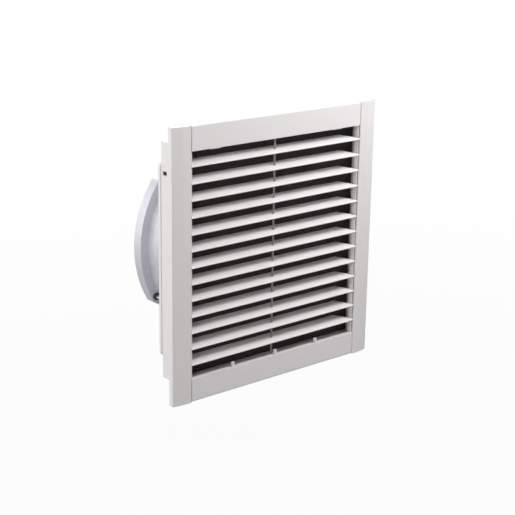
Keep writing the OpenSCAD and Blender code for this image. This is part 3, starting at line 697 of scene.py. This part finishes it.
class FAN_OT_impeller(Dressing, bpy.types.Operator):
    """Finishes the rotor and the blades, and adds the weld beads at the blades' roots"""
    bl_idname = "filter_fan.impeller"
    bl_label = "Impeller"

    def make(self, colours, sizes):
        paint = black_paint("Black rotor paint", colours.rotor, 0.38)
        paint.on("rotor_can")
        black_paint("Dark blade paint", colours.blade, 0.42).on("impeller_blades")
        bead = start(bpy.ops.mesh.primitive_uv_sphere_add, segments=8, ring_count=5, radius=sizes.bead_r)
        choose(bead, "verts", lambda spot: True)
        bpy.ops.transform.resize(value=(0.5, 1.5, 1.0))
        bpy.ops.transform.vertex_random(offset=0.08 * sizes.bead_r, seed=3)
        reach = 17 * MM
        bow = 5 * MM
        sweep = 20.5
        pitch = Matrix.Rotation(math.radians(-42), 4, "X")
        places = []
        for blade in range(BLADES):
            for share in (-0.62, 0.0, 0.62):
                along = BLADE_MIDDLE + reach * share + bow * (1 - share * share)
                place = Matrix.Translation((ROTOR_R, along, 0)) @ pitch
                places.append(round_axis(sweep * share - 360 / BLADES * blade) @ place)
        finished(copied(bead, places), "blade_root_welds", "impeller", paint, 60)


class FAN_OT_motor(Dressing, bpy.types.Operator):
    """Finishes the motor, its bearings and its bracket"""
    bl_idname = "filter_fan.motor"
    bl_label = "Motor"

    def make(self, colours, sizes):
        pressed_steel("Pressed bracket steel", colours.bracket).on("motor_bracket", "capacitor_clip")
        cast_metal("Cast motor flange", colours.casting).on("motor_flange")
        laminations("Stacked core").on("stator_core")
        windings("Varnished windings", colours.copper).on("stator_windings")
        steel = ground_steel("Bearing steel", (0.66, 0.66, 0.67), 0.22)
        steel.on("front_bearing", "rear_bearing", "preload_washer")
        ground_steel("Ground shaft", (0.62, 0.62, 0.64), 0.28).on("shaft")


class FAN_OT_guard(Dressing, bpy.types.Operator):
    """Finishes the finger guard, and adds a weld at each crossing of its wires"""
    bl_idname = "filter_fan.guard"
    bl_label = "Finger guard"

    def make(self, colours, sizes):
        wire = plated("Phosphated guard wire", (0.52, 0.53, 0.55), 0.42, 0.01)
        wire.on("finger_guard")
        drop = start(bpy.ops.mesh.primitive_uv_sphere_add, segments=8, ring_count=5, radius=sizes.drop_r)
        choose(drop, "verts", lambda spot: True)
        bpy.ops.transform.resize(value=(1.15, 0.8, 1.35))
        bpy.ops.transform.vertex_random(offset=0.06 * sizes.drop_r, seed=5)
        rings = 9
        first_ring = 32 * MM
        ring_step = 12 * MM
        arm_turn = FAN_TURN + 12
        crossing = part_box("finger_guard")[1].y - 2.1 * MM
        spots = [Matrix.Translation((first_ring + ring_step * ring, crossing, 0)) for ring in range(rings)]
        places = [round_axis(arm_turn + 90 * arm) @ spot for arm in range(4) for spot in spots]
        finished(copied(drop, places), "guard_wire_welds", "frame", wire, 60)


class FAN_OT_fasteners(Dressing, bpy.types.Operator):
    """Finishes the screws, stays and nuts, and adds the toothed washers"""
    bl_idname = "filter_fan.fasteners"
    bl_label = "Fasteners"

    def make(self, colours, sizes):
        zinc = plated("Bright zinc", colours.zinc, 0.28)
        zinc.on("hinge_pins", "tray_screws", "fan_stays", "motor_screws", "guard_screws")
        dark_steel("Phosphated steel").on("stay_nuts", "retaining_ring")
        rubber("Grommet rubber", colours.rubber).on("stay_grommets")
        self.washers(sizes, zinc)

    def washers(self, sizes, zinc):
        """Toothed washers under the tray's screws and the earth screw."""
        teeth = 10
        twist = math.radians(5)
        lift = 0.3 * MM
        thickness = 0.5 * MM
        inner = 0.66 * sizes.washer_r
        ring = 1.2
        reach = sizes.washer_r / (ring * inner)

        def is_tooth(one_end, other_end):
            middle = (one_end + other_end) / 2
            turn = math.atan2(middle.z, middle.x) / math.tau * teeth
            outside = min(one_end.length, other_end.length) > 1.1 * inner
            return outside and turn % 1.0 < 0.5

        washer = start(bpy.ops.mesh.primitive_circle_add, vertices=4 * teeth, radius=inner,
                       rotation=(math.pi / 2, 0, 0))
        bpy.ops.mesh.select_all(action="SELECT")
        bpy.ops.mesh.extrude_edges_move()
        bpy.ops.transform.resize(value=(ring, 1.0, ring))
        choose(washer, "edges", is_tooth)
        bpy.ops.mesh.extrude_edges_move()
        bpy.ops.transform.resize(value=(reach, 1.0, reach))
        bpy.ops.transform.rotate(value=twist, orient_axis=PANEL_AXIS, center_override=(0, 0, 0))
        bpy.ops.transform.translate(value=(0, lift, 0))
        bpy.ops.object.mode_set(mode="OBJECT")
        wall = washer.modifiers.new("Wall", "SOLIDIFY")
        wall.thickness = thickness
        wall.offset = 0.0
        alone(washer)
        bpy.ops.object.modifier_apply(modifier="Wall")
        centres = [(low + high) / 2 for low, high in solids("tray_screws") + solids("earth_screw")]
        places = [Matrix.Translation((spot.x, TRAY_BACK + lift, spot.z)) for spot in centres]
        finished(copied(washer, places), "toothed_washers", "frame", zinc)


class FAN_OT_electrics(Dressing, bpy.types.Operator):
    """Finishes the capacitor and the terminal block, and adds their small pieces"""
    bl_idname = "filter_fan.electrics"
    bl_label = "Electrics"

    def make(self, colours, sizes):
        case = smooth_case("Capacitor case", colours.capacitor, 0.3)
        case.on("capacitor")
        smooth_case("Terminal polyamide", colours.terminal, 0.42).on("terminal_block")
        brass = plated("Plated brass", colours.brass, 0.3)
        brass.on("terminal_screws", "earth_screw")
        self.collar(case)
        self.clamps(brass)

    def collar(self, case):
        """The rolled edge round the capacitor's end."""
        low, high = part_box("capacitor")
        centre = (low + high) / 2
        radius = (high.x - low.x) / 2
        can_length = 48 * MM
        roll_r = 0.9 * MM
        inset = 1.2 * MM
        end = low.y + can_length
        roll = start(bpy.ops.mesh.primitive_circle_add, vertices=10, radius=roll_r,
                     location=(centre.x + radius - inset, end, centre.z))
        bpy.ops.mesh.select_all(action="SELECT")
        bpy.ops.mesh.spin(steps=48, angle=math.tau, center=(centre.x, end, centre.z), axis=(0, 1, 0))
        finished(roll, "capacitor_collar", "frame", case, 60)

    def clamps(self, brass):
        """A brass cage in each port of the terminal block."""
        low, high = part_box("terminal_block")
        centre = (low + high) / 2
        cage_size = (5.4 * MM, 5.0 * MM, 5.6 * MM)
        cage_wall = 0.8 * MM
        cage_depth = 4.2 * MM
        port_out = 6.9 * MM
        port_height = 5.75 * MM
        port_pitch = 44 / 3
        cage = start(bpy.ops.mesh.primitive_cube_add, size=1.0)
        bpy.ops.mesh.select_all(action="SELECT")
        bpy.ops.transform.resize(value=cage_size)
        choose(cage, "faces", lambda middle, normal: normal.x < -0.9)
        bpy.ops.mesh.inset(thickness=cage_wall)
        bpy.ops.mesh.extrude_region_move(TRANSFORM_OT_translate={"value": (cage_depth, 0, 0)})
        bpy.ops.mesh.select_all(action="SELECT")
        bpy.ops.mesh.bevel(offset=0.2 * MM, segments=1, affect="EDGES")
        turn = Matrix.Rotation(math.radians(45), 4, PANEL_AXIS)
        corner = Matrix.Translation((centre.x, TRAY_BACK + port_height, centre.z)) @ turn
        places = [corner @ Matrix.Translation((-port_out, 0, way * port_pitch * MM)) for way in (-1, 0, 1)]
        finished(copied(cage, places), "terminal_clamps", "frame", brass)


class FAN_OT_stage(Dressing, bpy.types.Operator):
    """Sets up the floor, the lamps, the world and the camera"""
    bl_idname = "filter_fan.stage"
    bl_label = "Stage"

    def make(self, colours, sizes):
        scene = bpy.context.scene
        scene.view_settings.view_transform = "Standard"
        stage = scene.fan_stage
        self.floor(stage.floor_z)
        self.card("lower_card", stage.floor_z + 2 * MM, LOWER_CARD_R)
        self.card("upper_card", UPPER_CARD_Z, UPPER_CARD_R)
        self.world(stage.ambient)
        for name, (place, size) in LAMPS.items():
            self.lamp(name.title() + " lamp", place, size, getattr(stage, name))
        self.camera(scene)

    def floor(self, height):
        """A pale floor that the camera sees as white, with a faint shadow near the fan."""
        floor = self.disc("floor", height, FLOOR_R)
        finish = Finish("Pale floor", (0.5, 0.5, 0.5), 0.9)
        shown = finish.node("ShaderNodeEmission", {}, {"Color": (1, 1, 1, 1), "Strength": 1.0})
        flat = finish.spot((1, 1, 0))
        near = finish.node("ShaderNodeVectorMath", {"operation": "LENGTH"}, {0: flat}, "Value")
        share = finish.seen() * (1 - SHADOW_SHARE + SHADOW_SHARE * near.within(*SHADOW_FADE))
        plain = Socket(finish, finish.shader.outputs[0])
        both = finish.node("ShaderNodeMixShader", {}, {0: share, 1: plain, 2: shown})
        finish.feed(finish.tree.nodes["Material Output"].inputs["Surface"], both)
        floor.data.materials.append(finish.material)

    def card(self, name, height, radius):
        """A grey card that only the fan's bright metal mirrors, as on a photographer's table."""
        card = self.disc(name, height, radius)
        card.data.materials.append(Finish("Grey " + name.replace("_", " "), (0.52, 0.52, 0.53), 0.9).material)
        card.visible_camera = False
        card.visible_diffuse = False
        card.visible_shadow = False
        card.visible_transmission = False

    def disc(self, name, height, radius):
        """A flat round piece of the stage."""
        disc = start(bpy.ops.mesh.primitive_circle_add, vertices=96, radius=radius, fill_type="NGON",
                     location=(0, 0, height))
        bpy.ops.object.mode_set(mode="OBJECT")
        disc.name = name
        return disc

    def world(self, ambient):
        """A white background, and a dimmer even light on the fan."""
        world = bpy.data.worlds.new("White room")
        world.use_nodes = True
        bpy.context.scene.world = world
        graph = Graph(world.node_tree)
        background = graph.tree.nodes["Background"]
        graph.feed(background.inputs["Color"], (1, 1, 1, 1))
        graph.feed(background.inputs["Strength"], ambient + (1 - ambient) * graph.seen())

    def lamp(self, name, place, size, power):
        """A square soft lamp that faces the fan."""
        light = bpy.data.lights.new(name, "AREA")
        light.energy = power
        light.size = size
        lamp = bpy.data.objects.new(name, light)
        bpy.context.scene.collection.objects.link(lamp)
        lamp.location = place
        lamp.rotation_euler = (-Vector(place)).to_track_quat("-Z", "Y").to_euler()
        lamp.visible_camera = False

    def camera(self, scene):
        """The photograph's viewing angle, turned a little about the line of sight."""
        azimuth, elevation, roll = map(math.radians, CAMERA_TURN)
        back = Vector((math.sin(azimuth) * math.cos(elevation), -math.cos(azimuth) * math.cos(elevation),
                       math.sin(elevation)))
        level = Vector((math.cos(azimuth), math.sin(azimuth), 0))
        upright = back.cross(level)
        right = level * math.cos(roll) + upright * math.sin(roll)
        up = upright * math.cos(roll) - level * math.sin(roll)
        lens = bpy.data.cameras.new("Camera")
        lens.sensor_width = SENSOR_MM
        lens.lens = LENS_MM
        camera = bpy.data.objects.new("Camera", lens)
        scene.collection.objects.link(camera)
        turn = Matrix((right, up, back)).transposed().to_4x4()
        camera.matrix_world = Matrix.Translation(LOOK_AT + CAMERA_AWAY * back) @ turn
        scene.camera = camera


class FAN_PT_panel(bpy.types.Panel):
    """Lists the steps that dress the fan"""
    bl_idname = "FAN_PT_panel"
    bl_label = "Filter fan"
    bl_space_type = "VIEW_3D"
    bl_region_type = "UI"
    bl_category = "Filter fan"

    def draw(self, context):
        for operator in OPERATORS:
            self.layout.operator(operator.bl_idname)
        for group in (context.scene.fan_colours, context.scene.fan_sizes, context.scene.fan_stage):
            box = self.layout.box()
            for name in group.bl_rna.properties.keys():
                if name not in ("rna_type", "name"):
                    box.prop(group, name)


GROUPS = {"fan_colours": FanColours, "fan_sizes": FanSizes, "fan_stage": FanStage}
OPERATORS = (FAN_OT_mouldings, FAN_OT_filter_mat, FAN_OT_shroud, FAN_OT_impeller, FAN_OT_motor,
             FAN_OT_guard, FAN_OT_fasteners, FAN_OT_electrics, FAN_OT_stage)


def register():
    for made in (*GROUPS.values(), *OPERATORS, FAN_PT_panel):
        bpy.utils.register_class(made)
    for name, group in GROUPS.items():
        setattr(bpy.types.Scene, name, PointerProperty(type=group))


def unregister():
    for name in GROUPS:
        delattr(bpy.types.Scene, name)
    for made in (FAN_PT_panel, *reversed(OPERATORS), *GROUPS.values()):
        bpy.utils.unregister_class(made)


def main():
    """Dresses the fan."""
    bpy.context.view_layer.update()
    register()
    for operator in OPERATORS:
        group, name = operator.bl_idname.split(".")
        getattr(getattr(bpy.ops, group), name)()


if __name__ == "__main__":
    main()
